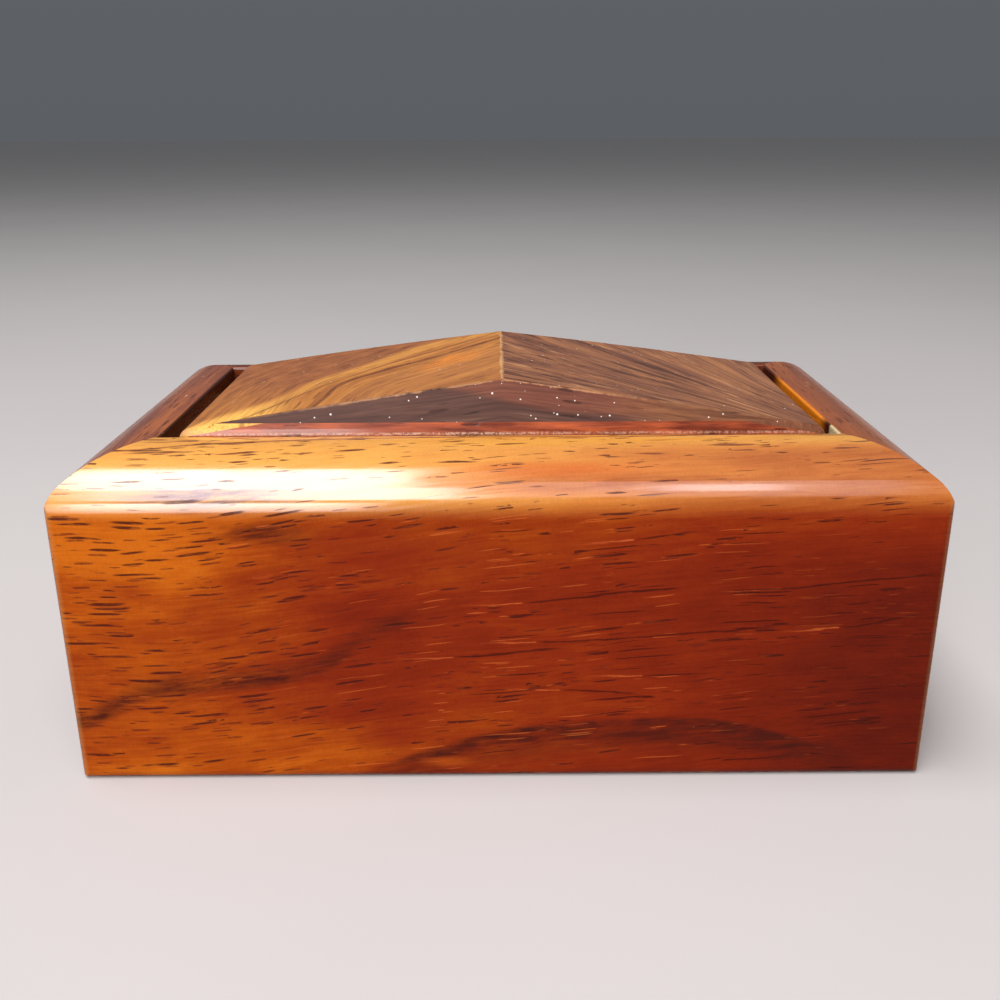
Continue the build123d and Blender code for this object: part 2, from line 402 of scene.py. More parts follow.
# %% Group: patch
patch, given, results = start_group(
    "patch", ("Along", "Across", "Middle Along", "Middle Across", "Half Length", "Half Width"), ("Patch",)
)
sideways = maths(patch, "DIVIDE", minus(patch, given["Along"], given["Middle Along"]), given["Half Length"])
upward = maths(patch, "DIVIDE", minus(patch, given["Across"], given["Middle Across"]), given["Half Width"])
away = maths(patch, "SQRT", plus(patch, maths(patch, "POWER", sideways, 2.0), maths(patch, "POWER", upward, 2.0)))
feed(patch, results["Patch"], spread(patch, away, 0.15, 1.0, 1.0, 0.0))


def oval_patch(tree, along, across, middle, half):
    """A patch in a material, by its middle and its half length and half width."""
    return use(
        tree, patch, Along=along, Across=across, Middle_Along=middle[0], Middle_Across=middle[1],
        Half_Length=half[0], Half_Width=half[1],
    )


print("made group", patch.name)

# %% [markdown]
# Lacquer collects dust, and along a sharp edge it wears through to pale wood. Both are thin and broken up, so both
# groups multiply a clean mask by a cloud.

# %% Groups: dust and worn line
dust, given, results = start_group("dust", ("Vector", "Spacing", "Share", "Seed"), ("Dust",))
cells = in_cells(dust, given["Vector"], given["Spacing"], given["Spacing"], given["Seed"])
scatter = place(dust, "TexVoronoi", Vector=cells, Scale=1.0)
chance = place(dust, "SeparateColor", Color=scatter.outputs["Color"]).outputs
size = spread(dust, maths(dust, "POWER", chance[1], 1.6), 0.0, 1.0, 0.06, 0.19, soft=False)
speck = spread(dust, scatter.outputs["Distance"], times(dust, size, 0.5), size, 1.0, 0.0)
feed(dust, results["Dust"], times(dust, speck, maths(dust, "LESS_THAN", chance[0], given["Share"])))

worn, given, results = start_group("worn_line", ("Vector", "Distance", "Width"), ("Worn",))
cells = in_cells(worn, given["Vector"], 1.6, 1.6, 3.0)
cloud = place(worn, "TexNoise", Vector=cells, Scale=1.0, Detail=3.0)
reach = times(worn, given["Width"], spread(worn, cloud.outputs[0], 0.35, 0.7, 0.4, 1.3))
near = spread(worn, maths(worn, "ABSOLUTE", given["Distance"]), times(worn, reach, 0.3), reach, 1.0, 0.0)
feed(worn, results["Worn"], times(worn, near, spread(worn, cloud.outputs[0], 0.3, 0.55)))
print("made groups", dust.name, "and", worn.name)

# %% [markdown]
# ## Drawing figure
#
# Some bands are what makes this piece of wood this piece. A Float Curve node is a drawn line: for a place along the
# grain it gives the band's height. The distance to that line, softened by fibres, is the band. `ink` turns the
# distance into a mask with its own softness above and below.

# %% Helpers for drawn bands
DRAWN = 60.0  # mm: a drawn line reaches this far from the middle, along and across


def drawn_line(tree, along, points):
    """The height of a drawn line at each place along the grain; points are in millimetres."""
    curve = place(tree, "FloatCurve", Value=spread(tree, along, -DRAWN, DRAWN, soft=False))
    line = curve.mapping.curves[0]
    shares = [((x + DRAWN) / (2 * DRAWN), (y + DRAWN) / (2 * DRAWN)) for x, y in points]
    line.points[0].location = (0.0, shares[0][1])
    line.points[1].location = (1.0, shares[-1][1])
    for share in shares:
        line.points.new(*share)
    curve.mapping.update()
    return spread(tree, curve.outputs[0], 0.0, 1.0, -DRAWN, DRAWN, soft=False)


def ink(tree, gap, above, below, start=None, end=None, along=None):
    """A band round gap zero: it fades out this far above and below, and before start and after end."""
    upper = spread(tree, gap, 0.0, above, 1.0, 0.0)
    lower = spread(tree, gap, -below, 0.0, 0.0, 1.0)
    mask = times(tree, upper, lower)
    if start:
        mask = times(tree, mask, spread(tree, along, *start))
    if end:
        mask = times(tree, mask, spread(tree, along, *end, 1.0, 0.0))
    return mask


print("drawn lines reach", DRAWN, "mm each way")

# %% [markdown]
# ## The space of a board
#
# Each board has its own space, in millimetres, with X along the grain. On the walls, the height also grows on the
# way in over the rim, so that a band which reaches the shoulder goes on across the crown instead of stopping.
# Grain is never quite straight: `wandering` pushes points sideways by a slow cloud, so that pores, fibres and
# bands which read the result stay parallel, as they grew.

# %% Helpers for the space of a board
CROWN_CLIMB = 0.45  # mm of height gained for each millimetre in over the rim


def start_wood(name):
    """A new material with its shader, ready for a wood."""
    wood = bpy.data.materials.new(name)
    wood.use_nodes = True
    return wood, wood.node_tree, wood.node_tree.nodes["Principled BSDF"]


def board_space(tree, turn=0.0):
    """Object coordinates in millimetres, turned about Z so that X runs along the grain."""
    point = place(tree, "TexCoord").outputs["Object"]
    mapping = place(tree, "Mapping", Vector=point, Scale=(METRE, METRE, METRE), Rotation=(0.0, 0.0, radians(turn)))
    return mapping.outputs[0]


def rim_height(tree, space, half):
    """A wall's axes along and across, and its height, which goes on growing over the crown."""
    axes = axes_of(tree, space)
    inward = minus(tree, half, maths(tree, "ABSOLUTE", axes[1]))
    return axes[0], axes[1], plus(tree, axes[2], times(tree, inward, CROWN_CLIMB))


def wandering(tree, vector, reach, amount, seed):
    """Pushes points by a slow cloud: it turns over in reach and moves them by up to amount, in millimetres."""
    cells = in_cells(tree, vector, reach, 0.4 * reach, seed)
    cloud = place(tree, "TexNoise", Vector=cells, Scale=1.0, Detail=1.0).outputs["Color"]
    centred = vector_maths(tree, "SUBTRACT", cloud, (0.5, 0.5, 0.5))
    push = vector_maths(tree, "MULTIPLY", centred, (2 * amount, 2 * amount, 2 * amount))
    return vector_maths(tree, "ADD", vector, push)


print(f"the crown adds {CROWN_CLIMB} mm of height for each millimetre in")

# %% [markdown]
# The last two helpers end each wood. `finish_wood` puts its colour, roughness and relief under a coat of lacquer,
# and `paint` gives the material to the pieces that are made of it.

# %% Helpers to finish a wood
FINE_RELIEF, MIDDLE_RELIEF, COARSE_RELIEF = 0.00003, 0.00005, 0.00006  # m, how deep pores and fibres seem


def finish_wood(tree, shader, colour, rough, relief, depth, coat, shine=0.35, polish=0.10, lacquer=1.6):
    """Wires a wood's colour, roughness and relief to its shader, under a coat of lacquer.

    Shine is the bare wood's own gloss, polish the roughness of the lacquer and lacquer its index of refraction.
    """
    feed(tree, shader.inputs["Base Color"], colour)
    feed(tree, shader.inputs["Roughness"], rough)
    bump = place(tree, "Bump", Height=relief, Strength=1.0, Distance=depth)
    feed(tree, shader.inputs["Normal"], bump.outputs[0])
    feed(tree, shader.inputs["Coat Weight"], coat)
    shader.inputs["Specular IOR Level"].default_value = shine
    feed(tree, shader.inputs["Coat Roughness"], polish)
    shader.inputs["Coat IOR"].default_value = lacquer


def paint(node_names, wood):
    """Gives each named piece of the frame this material."""
    for name in node_names:
        for holder in nodes[name].material_slots:
            holder.material = wood
    print(wood.name, "on", ", ".join(node_names))


print("reliefs in metres:", FINE_RELIEF, MIDDLE_RELIEF, COARSE_RELIEF)

# %% [markdown]
# ## Front board
#
# The front is the show side: golden orange at the top left, redder and darker to the right, with two smoky bands
# and many pores. The colour starts as one scale from deep red to orange. What moves along that scale is a sum: a
# slope drawn across the board, a few soft patches, a slow cloud and the fibres. Bands and pores are laid over it.

# %% Front wood: its space
FIGURE_DEPTH, PORE_DEPTH = 0.3, 0.6  # how fast figure and pores change from front to back, against their height

front_wood, tree, shader = start_wood("front_wood")
space = board_space(tree)
along, depth, height = rim_height(tree, space, box_half_depth)
flow = drawn_line(
    tree, along, [(-57, 0), (-45, 0), (-35, 0.9), (-20, 3.0), (-5, 4.8), (15, 6.8), (35, 8.4), (57, 9.8)]
)
tilted = minus(tree, height, flow)
board = vector_of(tree, along, times(tree, depth, FIGURE_DEPTH), tilted)
grain = wandering(tree, board, 42.0, 1.4, 2.0)
ripple = wandering(tree, grain, 9.0, 0.45, 6.0)
fine = streaks(tree, ripple, 14.0, 0.45, 4.0)
broad = streaks(tree, grain, 46.0, 6.0, 9.0)
cloudy = streaks(tree, grain, 8.0, 3.0, 14.0)
ragged = streaks(tree, ripple, 7.0, 0.8, 18.0)
comb = streaks(tree, space, 0.18, 0.6, 1.0)
on_rim = spread(tree, height, 37.0, 41.0)  # here the face turns into the shoulder
inward = times(tree, plus(tree, depth, box_half_depth), PORE_DEPTH)
ripple_in = vector_maths(tree, "ADD", ripple, vector_of(tree, y=inward))


def oval(middle, half, *shares):
    """A patch on the front board, placed along it and by height, times some shares."""
    return times(tree, oval_patch(tree, along, height, middle, half), *shares)


print("front board: its space")

# %% [markdown]
# The slope of the colour is a drawn line too. Each patch then adds a little to that level, or takes a little away.

# %% Front wood: ground colour of the face
FULL_ORANGE = 50.0  # the height of the drawn line that stands for the top of the scale

slope = drawn_line(
    tree, along,
    [(-57, 40), (-40, 37), (-28, 32), (-16, 27), (-5, 28), (8, 27), (18, 25), (28, 22), (39, 17), (52, 11)],
)
level = times(tree, slope, 1.0 / FULL_ORANGE)
level = plus(tree, level, spread(tree, height, 25.0, 37.0, 0.0, 0.13))
for share, middle, half in (  # added level, then the patch in millimetres
    (0.12, (-47.0, 33.0), (20.0, 11.0)),
    (-0.07, (-54.0, 17.0), (9.0, 7.0)),
    (0.12, (-39.5, 29.5), (9.0, 4.0)),
    (-0.10, (-20.0, 26.0), (12.0, 5.0)),
    (0.16, (56.0, 38.0), (34.0, 12.0)),
    (0.24, (-27.0, 4.0), (26.0, 8.0)),
    (0.14, (-50.0, 1.0), (14.0, 5.0)),
    (0.12, (-5.0, 8.5), (14.0, 4.0)),
    (0.10, (8.0, 12.0), (30.0, 4.0)),
):
    level = plus(tree, level, oval(middle, half, share))
for streak, amount in ((broad, 0.08), (cloudy, 0.09), (fine, 0.05)):
    level = plus(tree, level, spread(tree, streak, 0.0, 1.0, -amount, amount, soft=False))
colour = ramp(
    tree, level,
    (0.0, 70, 14, 6), (0.2, 85, 20, 6), (0.42, 104, 27, 6), (0.56, 117, 34, 7),
    (0.7, 130, 47, 7), (0.85, 151, 66, 8), (1.0, 174, 88, 14),
)
print("front board: ground colour of the face")

# %% [markdown]
# The rim has a golden scale of its own, browner along the shoulder and redder in front at the right. It takes over
# where the face turns into the shoulder. At the back of the box painted shade turns it dark brown, as in the shaded
# ends of the slots.

# %% Front wood: ground colour of the rim
foremost = spread(tree, depth, -28.0, -23.0, 1.0, 0.0)
redder = times(tree, foremost, spread(tree, along, -25.0, 45.0, 0.0, -0.62))
rim_level = plus(tree, spread(tree, along, -45.0, 52.0, 0.88, 0.92, soft=False), redder)
rim_level = plus(tree, rim_level, oval((8.0, 42.2), (28.0, 2.8), -0.32))
for streak, amount in ((broad, 0.08), (cloudy, 0.07), (fine, 0.05)):
    rim_level = plus(tree, rim_level, spread(tree, streak, 0.0, 1.0, -amount, amount, soft=False))
gold = ramp(tree, rim_level, (0.0, 112, 52, 18), (0.25, 152, 80, 28), (0.5, 182, 110, 42), (0.9, 206, 145, 60))
# Painted shade: the back half of the rim turns dark brown.
gold = stain(tree, gold, (92, 46, 26), spread(tree, depth, -5.0, 5.0))
flush = oval_patch(tree, along, depth, (6.0, -29.6), (20.0, 1.6))
gold = stain(tree, gold, (176, 78, 18), flush, 0.6)
colour = blend(tree, times(tree, on_rim, 0.9), colour, gold)
print("front board: ground colour of the rim")

# %% [markdown]
# The two smoky bands are drawn. The left one climbs from the lower corner and melts away; the right one is a long
# arc over a redder foot, with one orange streak left in it. A brown smear lies under the shoulder at the left, and
# on the shoulder there lies a painted purple-grey reflection, streaked by the fibres.

# %% Front wood: smoky bands
climb = drawn_line(
    tree, along, [(-57, 8.5), (-46, 13.3), (-36, 14.6), (-23, 17.2), (-17, 21.5), (-11, 24.0), (0, 27.0)]
)
smoke = ink(tree, minus(tree, height, climb), above=2.8, below=1.9, end=(-26.0, -2.0), along=along)
crest = drawn_line(
    tree, along, [(-20, 0.5), (-7, 4.9), (0, 6.7), (10, 7.9), (22, 8.5), (31, 7.8), (39, 5.6), (50, 2.1)]
)
arc = ink(
    tree, minus(tree, height, crest), above=0.9, below=6.0,
    start=(-22.0, -8.0), end=(40.0, 51.0), along=along,
)
smoky = larger(tree, times(tree, smoke, 0.95), times(tree, arc, 0.95))
smoky = larger(tree, smoky, oval((-29.5, 35.6), (9.5, 2.3), 0.75))
smoky = larger(tree, smoky, oval((41.0, 3.4), (8.0, 2.8), 0.85))
smoky = times(tree, smoky, spread(tree, ragged, 0.15, 0.75, 0.45, 1.15))
smoky = times(tree, smoky, spread(tree, cloudy, 0.1, 0.9, 1.0, 0.6))
colour = stain(tree, colour, (58, 18, 11), smoky)
colour = stain(tree, colour, (160, 70, 14), oval((-7.0, 2.4), (5.0, 1.1)), 0.6)
# Painted reflection: purple-grey streaks on the shoulder at the left, fading towards the back.
painted_reflection_streaks = oval((-36.5, 40.8), (17.0, 3.2), spread(tree, ragged, 0.2, 0.7, 0.35, 1.0))
painted_reflection_streaks = times(tree, painted_reflection_streaks, spread(tree, depth, 0.0, 1.0, 0.85, 0.0))
colour = stain(tree, colour, (76, 52, 58), painted_reflection_streaks)
print("front board: smoky bands")

# %% [markdown]
# A few dark threads cross the face, each with a pale left end that is a painted glint. One long vessel runs along
# the rim from mitre to mitre.

# %% Front wood: threads and a vessel
threads, ends = 0.0, 0.0
for points in (
    ((-6.0, 18.2), (8.5, 19.4)),
    ((3.0, 25.9), (12.8, 27.0), (22.7, 27.9)),
    ((4.8, 20.3), (16.2, 20.8), (27.9, 21.7), (35.6, 22.3)),
    ((8.0, 13.3), (18.0, 12.8)),
    ((18.8, 15.4), (27.1, 15.7)),
    ((17.0, 34.5), (25.1, 35.6)),
    ((36.0, 27.8), (45.8, 28.7), (56.0, 29.5)),
    ((44.0, 22.2), (55.0, 24.0)),
):
    gap = minus(tree, height, drawn_line(tree, along, points))
    gap = plus(tree, gap, spread(tree, ragged, 0.0, 1.0, -0.2, 0.2, soft=False))
    first, last = points[0][0], points[-1][0]
    thread = ink(tree, gap, 0.21, 0.21, start=(first - 0.5, first + 1.5), end=(last - 3.0, last + 1.0), along=along)
    threads = larger(tree, threads, thread)
    # Painted glint: the pale left end of each thread.
    bright = ink(tree, gap, 0.15, 0.15, start=(first - 9.0, first - 1.0), end=(first - 0.3, first), along=along)
    ends = larger(tree, ends, bright)
colour = stain(tree, colour, (50, 12, 6), threads, 0.85)
colour = stain(tree, colour, (190, 92, 42), ends, 0.6)
vessel = drawn_line(
    tree, along,
    [(-46.5, -25.8), (-41, -24.8), (-33, -23.9), (-18, -22.8), (-2.5, -22.4), (20, -22.4), (29, -22.0), (46, -22.4)],
)
vessel = ink(tree, minus(tree, depth, vessel), 0.35, 0.35)
vessel = times(tree, vessel, on_rim, spread(tree, cloudy, 0.0, 0.8, 0.5, 1.0))
colour = stain(tree, colour, (98, 42, 18), vessel)
print("front board: threads and a vessel")

# %% [markdown]
# Pores are dense at the left and sparse at the right, so their share falls along the board, and a slow cloud
# gathers them in groups. The same group with other sizes draws long hairs: vessels cut along their length, dark or
# filled and pale; the pale hairs and the pale ends of pores are painted glints.

# %% Front wood: pores
crowd = plus(tree, spread(tree, along, -56.0, 14.0, 0.74, 0.16), spread(tree, cloudy, 0.2, 0.8, -0.3, 0.3))
crowd = plus(tree, crowd, oval((-50.5, 22.0), (6.0, 10.0), 0.45))
crowd = plus(tree, crowd, oval((42.0, 10.5), (11.0, 4.0), 0.7))
shoulder = times(tree, on_rim, spread(tree, height, 44.0, 47.0, 1.0, 0.0))
crowd = times(tree, crowd, spread(tree, shoulder, 0.0, 1.0, 1.0, 0.35))
crowd = times(tree, crowd, spread(tree, height, 1.0, 15.0, 0.6, 1.0))
# The share of pores with a pale, lacquer-filled end, painted as a glint.
filled_and_glinting = spread(tree, along, -45.0, 0.0, 0.25, 0.7)
dashes, glint_tails = use(tree, pores, Vector=ripple_in, Length=6.8, Width=0.56, Share=crowd, Pale_Share=filled_and_glinting, Seed=5.0)
small = marks(tree, ripple_in, 4.2, 0.40, times(tree, crowd, 0.7), 13.0)
hairs = marks(tree, ripple, 10.0, 0.22, 0.13, 33.0)
dark_share = spread(tree, along, -12.0, 20.0, 0.0, 0.2)
dark_hairs = marks(tree, ripple, 15.0, 0.30, dark_share, 37.0)
on_top = spread(tree, height, 46.4, 47.2)
long_dashes = marks(tree, ripple_in, 9.0, 0.75, times(tree, on_top, 0.42), 17.0)
# Painted glints: pale hairs and the pale ends of pores.
pale_glints = times(tree, hairs, spread(tree, along, -40.0, -10.0, 0.15, 0.5))
pale_glints = larger(tree, times(tree, glint_tails, 0.5), pale_glints)
pale_glints = times(tree, pale_glints, spread(tree, along, 18.0, 42.0, 1.0, 0.3))
colour = stain(tree, colour, (184, 90, 38), pale_glints)
colour = stain(tree, colour, (62, 16, 8), dashes, 0.9)
colour = stain(tree, colour, (54, 12, 6), dark_hairs, 0.85)
colour = stain(tree, colour, (84, 22, 9), small, 0.7)
colour = stain(tree, colour, (96, 42, 18), long_dashes, 0.85)
colour = blend(tree, 1.0, colour, spread(tree, comb, 0.0, 1.0, 0.94, 1.06), "MULTIPLY")
print("front board: pores")

# %% [markdown]
# At both ends and along the foot the lacquer has worn through to paler wood; at the two ends the pale line is also a
# painted highlight along the edge. Each pore is a small furrow: darker, duller and a little sunk. The rim is handled
# most, so its lacquer is the glossiest, and only the pores break its shine.

# %% Front wood: wear and finish
# The pale lines at the two ends: worn lacquer and a painted highlight along the edge.
arris = spread(tree, along, 0.2 - box_half_width, 0.9 - box_half_width, 1.0, 0.0)
other_arris = spread(tree, along, box_half_width - 0.7, box_half_width - 0.2, 0.0, 0.6)
arris = larger(tree, arris, other_arris)
foot = use(tree, worn, Vector=space, Distance=height, Width=0.6)
foot = times(tree, foot, spread(tree, cloudy, 0.4, 0.6, 0.4, 2.2))
arris = larger(tree, arris, foot)
colour = stain(tree, colour, (158, 110, 60), arris, 0.4)
pits = larger(tree, dashes, times(tree, small, 0.6))
rough = plus(tree, spread(tree, fine, 0.0, 1.0, 0.22, 0.34), times(tree, pits, 0.25))
relief = minus(tree, times(tree, fine, 0.25), pits)
gloss = times(tree, spread(tree, on_rim, 0.0, 1.0, 0.02, 1.0), spread(tree, pits, 0.0, 1.0, 1.0, 0.5))
gloss = times(tree, gloss, spread(tree, depth, -5.0, 5.0, 1.0, 0.25))
polish = spread(tree, fine, 0.0, 1.0, 0.08, 0.19)
finish_wood(tree, shader, colour, rough, relief, FINE_RELIEF, coat=gloss, shine=0.04, polish=polish, lacquer=1.7)
paint(["front_wall", "back_wall", "lid_back_rail"], front_wood)

# %% [markdown]
# ## Side boards
#
# The short walls come from a plainer, browner board. Their grain runs from front to back, so the space is turned a
# quarter. The colour line at each mitre then appears by itself, where one board meets the other. Dark growth
# stripes show low on the walls and fade towards the rim, where the right wall is the more orange one.

# %% Side wood: ground colour
side_wood, tree, shader = start_wood("side_wood")
space = board_space(tree, turn=-90.0)
along, depth, height = rim_height(tree, space, box_half_width)
grain = wandering(tree, vector_of(tree, along, depth, height), 36.0, 1.8, 7.0)
level, fine = two_streaks(tree, grain, (60.0, 5.0, 3.0), (14.0, 0.5, 8.0), 0.62)
comb = streaks(tree, space, 0.5, 0.22, 1.0)
box_axes = axes_of(tree, board_space(tree))
right_side = spread(tree, box_axes[0], -10.0, 10.0)
colour = ramp(tree, level, (0.0, 88, 34, 18), (0.4, 128, 62, 36), (0.7, 156, 84, 42), (1.0, 196, 116, 54))
top_only = spread(tree, height, 42.0, 46.0)
greyed = times(tree, top_only, spread(tree, right_side, 0.0, 1.0, 0.7, 0.0))
browns = ramp(tree, level, (0.1, 94, 48, 32), (0.5, 121, 66, 46), (0.95, 188, 106, 46))
colour = blend(tree, greyed, colour, browns)
redness = times(tree, right_side, spread(tree, height, 30.0, 42.0, 0.15, 0.45))
colour = stain(tree, colour, (152, 84, 38), redness)
growth = streaks(tree, grain, 80.0, 2.2, 21.0)
growth = times(tree, spread(tree, growth, 0.52, 0.85), spread(tree, height, 32.0, 44.0, 0.7, 0.15))
colour = stain(tree, colour, (70, 28, 15), growth)
dashes = marks(tree, grain, 5.2, 0.48, 0.34, 6.0)
colour = stain(tree, colour, (62, 24, 12), dashes, 0.8)
print("side boards: ground colour")

# %% [markdown]
# The two slots beside the lid differ: painted shade darkens their walls, and the right one has a painted pool of
# light along the top of its wall, with a cream patch at its front end. Dust lies along the rim.

# %% Side wood: painted shade and light in the slots, dust and finish
# Painted shade on the slot walls, and a painted pool of light on the upper wall of the right slot.
slot = spread(tree, maths(tree, "ABSOLUTE", box_axes[0]), inner_half_width + 0.1, inner_half_width + 0.35, 1.0, 0.0)
slot = times(tree, slot, spread(tree, box_axes[2], 38.0, 40.0))
painted_light = times(tree, right_side, spread(tree, box_axes[2], 41.4, 43.0))
painted_light_stretch = times(tree, spread(tree, box_axes[1], -16.0, -12.0), spread(tree, box_axes[1], 8.0, 15.0, 1.0, 0.0))
painted_light = times(tree, painted_light, painted_light_stretch)
slot_painted_shade_and_light = blend(tree, painted_light, tone(58, 22, 10), tone(224, 128, 24))
# A cream patch at the front end of the right slot.
cream_patch = times(tree, right_side, spread(tree, box_axes[1], -17.6, -16.6, 1.0, 0.0))
cream_patch = times(tree, cream_patch, spread(tree, comb, 0.0, 0.6, 0.5, 1.0))
slot_painted_shade_and_light = stain(tree, slot_painted_shade_and_light, (214, 196, 150), cream_patch)
colour = blend(tree, slot, colour, slot_painted_shade_and_light)
specks = use(tree, dust, Vector=space, Spacing=1.6, Share=0.3, Seed=2.0)
colour = stain(tree, colour, (226, 220, 214), specks, top_only, 0.75)
colour = blend(tree, 1.0, colour, spread(tree, comb, 0.0, 1.0, 0.92, 1.08), "MULTIPLY")
rough = plus(tree, spread(tree, fine, 0.0, 1.0, 0.22, 0.38), times(tree, dashes, 0.25))
relief = minus(tree, times(tree, fine, 0.35), dashes)
finish_wood(tree, shader, colour, rough, relief, COARSE_RELIEF, coat=0.3, shine=0.2)
paint(["left_wall", "right_wall"], side_wood)

# %% [markdown]
# ## Inside wood
#
# The bottom and the lid's runner are hidden most of the time. They are sanded and oiled, not lacquered, so the
# same fibres and pores sit under a satin surface without a coat.

# %% Inside wood
inside_wood, tree, shader = start_wood("inside_wood")
grain = wandering(tree, board_space(tree), 40.0, 2.0, 12.0)
level, fine = two_streaks(tree, grain, (70.0, 7.0, 16.0), (14.0, 0.5, 15.0), 0.6)
colour = ramp(tree, level, (0.0, 118, 66, 36), (0.5, 158, 98, 54), (1.0, 190, 132, 80))
dashes = marks(tree, grain, 5.2, 0.7, 0.3, 17.0)
colour = stain(tree, colour, (84, 44, 24), dashes, 0.7)
relief = minus(tree, fine, dashes)
finish_wood(tree, shader, colour, spread(tree, fine, 0.0, 1.0, 0.42, 0.6), relief, MIDDLE_RELIEF, coat=0.0)
paint(["bottom_panel", "lid_runner"], inside_wood)

# %% [markdown]
# ## Plinth
#
# The block under the roof shows only as a dark red-brown strip with a rounded edge. Its grain runs along X. Old
# polish has gathered along its foot and dried there as a dotted, pale fringe, with a painted highlight of the
# rounded edge laid over it, strongest at the left.

# %% Plinth wood
plinth_wood, tree, shader = start_wood("plinth_wood")
space = board_space(tree)
axes = axes_of(tree, space)
grain = wandering(tree, space, 30.0, 0.8, 22.0)
level, fine = two_streaks(tree, grain, (13.0, 2.0, 26.0), (9.0, 0.4, 25.0), 0.75)
colour = ramp(tree, level, (0.0, 62, 24, 16), (0.3, 104, 44, 26), (0.6, 150, 70, 38), (1.0, 192, 92, 38))
over_rim = minus(tree, axes[2], rim_top)
fringe_dust_and_highlight = times(tree, spread(tree, over_rim, 0.05, 0.32, 1.0, 0.0), spread(tree, over_rim, -0.3, 0.0))
dots = streaks(tree, space, 0.35, 0.35, 28.0)
fringe_dust_and_highlight = times(tree, fringe_dust_and_highlight, spread(tree, dots, 0.3, 0.75, 0.1, 0.8))
# The painted highlight in the fringe is strongest at the left.
fringe_dust_and_highlight = times(tree, fringe_dust_and_highlight, spread(tree, axes[0], -22.0, -8.0, 0.6, 1.0))
fringe_dust_and_highlight = times(tree, fringe_dust_and_highlight, spread(tree, axes[0], -2.0, 12.0, 1.0, 0.6))
colour = stain(tree, colour, (214, 170, 140), fringe_dust_and_highlight)
dashes = marks(tree, grain, 4.6, 0.7, 0.25, 27.0)
colour = stain(tree, colour, (48, 18, 12), dashes, 0.7)
rough = spread(tree, fine, 0.0, 1.0, 0.2, 0.36)
relief = minus(tree, times(tree, fine, 0.3), dashes)
finish_wood(tree, shader, colour, rough, relief, FINE_RELIEF, coat=0.25, shine=0.12)
paint(["lid_plinth"], plinth_wood)

# %% [markdown]
# ## Roof
#
# The two roof panels were cut from one board and opened like a book, so their figure leans both ways from the
# ridge. The gable at each end leans in. The distance from a gable's face is found from the height and that lean;
# the panels and the gables use it for the thin pale line where the lacquer has worn through along the crease. The
# ridge has such a line too, and specks of dust lie on everything.

# %% Helpers for the roof
gable_low, gable_high = extent("lid_front_gable")
back_gable_high = extent("lid_back_gable")[1]
FACING = 0.9  # mm, the thickness of a gable facing from front to back
LEAN = (gable_high.y - FACING - gable_low.y) / (gable_high.z - gable_low.z)
roof_half = (back_gable_high.y - gable_low.y) / 2
roof_middle = (back_gable_high.y + gable_low.y) / 2
FALL = 0.139  # mm, how far the roof falls for each millimetre away from the ridge


def roof_edges(tree):
    """Place on the roof, distance from the ridge line and distance in from a gable's face, in millimetres."""
    axes = axes_of(tree, board_space(tree))
    from_ridge = minus(tree, axes[0], ridge_x)
    climbed = times(tree, minus(tree, axes[2], gable_low.z), LEAN)
    outward = maths(tree, "ABSOLUTE", minus(tree, axes[1], roof_middle))
    from_gable = minus(tree, minus(tree, roof_half, outward), climbed)
    return axes, from_ridge, from_gable


def wear_roof(tree, colour, edges, pale, specks):
    """Worn lines along the ridge and the creases, and dust; specks is the share of places with a speck."""
    axes, from_ridge, from_gable = edges
    space = board_space(tree)
    roof_here = minus(tree, ridge_top, times(tree, maths(tree, "ABSOLUTE", from_ridge), FALL))
    under = larger(tree, minus(tree, roof_here, axes[2]), 0.0)
    from_crease = larger(tree, from_gable, under)
    crease = use(tree, worn, Vector=space, Distance=from_crease, Width=0.2)
    crease = times(tree, crease, spread(tree, axes[0], 13.0, 18.0, 1.0, 0.3))
    crease = times(tree, crease, spread(tree, axes[0], -30.0, -18.0, 0.3, 1.0))
    crease = times(tree, crease, spread(tree, maths(tree, "ABSOLUTE", axes[0]), 34.0, 37.0, 1.0, 0.0))
    ridge = use(tree, worn, Vector=space, Distance=from_ridge, Width=0.36)
    ridge = times(tree, ridge, spread(tree, under, 0.15, 0.4, 1.0, 0.0))
    colour = stain(tree, colour, pale, larger(tree, times(tree, crease, 0.45), times(tree, ridge, 0.6)))
    dots = use(tree, dust, Vector=space, Spacing=0.95, Share=specks, Seed=45.0)
    return stain(tree, colour, (232, 226, 216), dots, 0.8)


print(f"gable leans {LEAN:.3f}, roof from y {roof_middle - roof_half:.2f} to {roof_middle + roof_half:.2f}")
